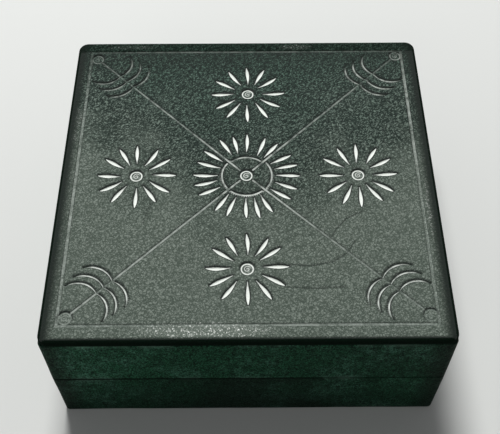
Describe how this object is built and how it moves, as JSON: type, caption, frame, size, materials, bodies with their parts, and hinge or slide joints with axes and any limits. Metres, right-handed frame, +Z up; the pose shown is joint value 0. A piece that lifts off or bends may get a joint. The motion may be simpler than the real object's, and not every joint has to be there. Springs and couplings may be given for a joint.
{
  "type": "leather box",
  "caption": "Square leather-covered box with a hand-tooled lift-off lid that slides over an inner neck, for papers and keepsakes.",
  "frame": {"origin": "middle of the underside, on the surface that the box stands on", "axes": "+Z up through the lid, the front faces -Y, +X to the right"},
  "size_m": [0.25, 0.25, 0.1],
  "materials": {
    "tooled_leather": "pebbled hide with a satin sheen, stamped and gouged by hand, pale raw leather in the gouge cuts",
    "side_leather": "thin pebbled hide, satin",
    "underside_leather": "flat, matt",
    "board": "pressed board, matt",
    "suede_lining": "short suede nap"
  },
  "bodies": {
    "base": {"base_underside_panel": "underside_leather", "base_wall_leather": "side_leather", "base_bottom_board": "board", "base_front_board": "board", "base_right_board": "board", "base_back_board": "board", "base_left_board": "board", "neck_front_board": "board", "neck_right_board": "board", "neck_back_board": "board", "neck_left_board": "board", "neck_lining": "suede_lining", "base_floor_lining": "suede_lining"},
    "lid": {"lid_top_leather": "tooled_leather", "lid_side_leather": "side_leather", "lid_top_board": "board", "lid_front_board": "board", "lid_right_board": "board", "lid_back_board": "board", "lid_left_board": "board", "lid_top_lining": "suede_lining", "lid_wall_lining": "suede_lining"}
  },
  "joints": [
    {"name": "lid_lift", "type": "slide", "parent": "base", "child": "lid", "axis": [0, 0, 1], "range_m": [0, 0.12]}
  ]
}
